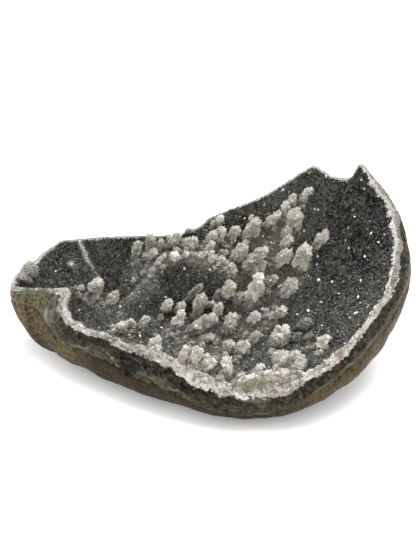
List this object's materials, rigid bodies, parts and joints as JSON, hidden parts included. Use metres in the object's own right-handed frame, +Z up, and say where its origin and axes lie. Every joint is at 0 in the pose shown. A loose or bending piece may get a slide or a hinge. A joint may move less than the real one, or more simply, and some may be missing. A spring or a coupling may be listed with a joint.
{
  "type": "geode half",
  "caption": "Half of a hollow basalt geode, a bowl-like rock lined with dark sparkling quartz and pale crystal fingers, for display on a shelf or table.",
  "frame": {"origin": "middle of the small flat under the rock that it rests on", "axes": "+Z up, +X to the viewer's right along the specimen's length, towards its high end, +Y away from the viewer, towards the high back wall"},
  "size_m": [0.317, 0.167, 0.146],
  "materials": {
    "basalt": "brown weathered basalt rind, ground and polished dark green-black at the rim",
    "quartz": "grey to near-black sparkling druse with pale grey-beige crystal fingers and a white quartz band at the rim"
  },
  "bodies": {
    "root": {"rock_shell": "basalt", "crystal_crust": "quartz"}
  },
  "joints": []
}
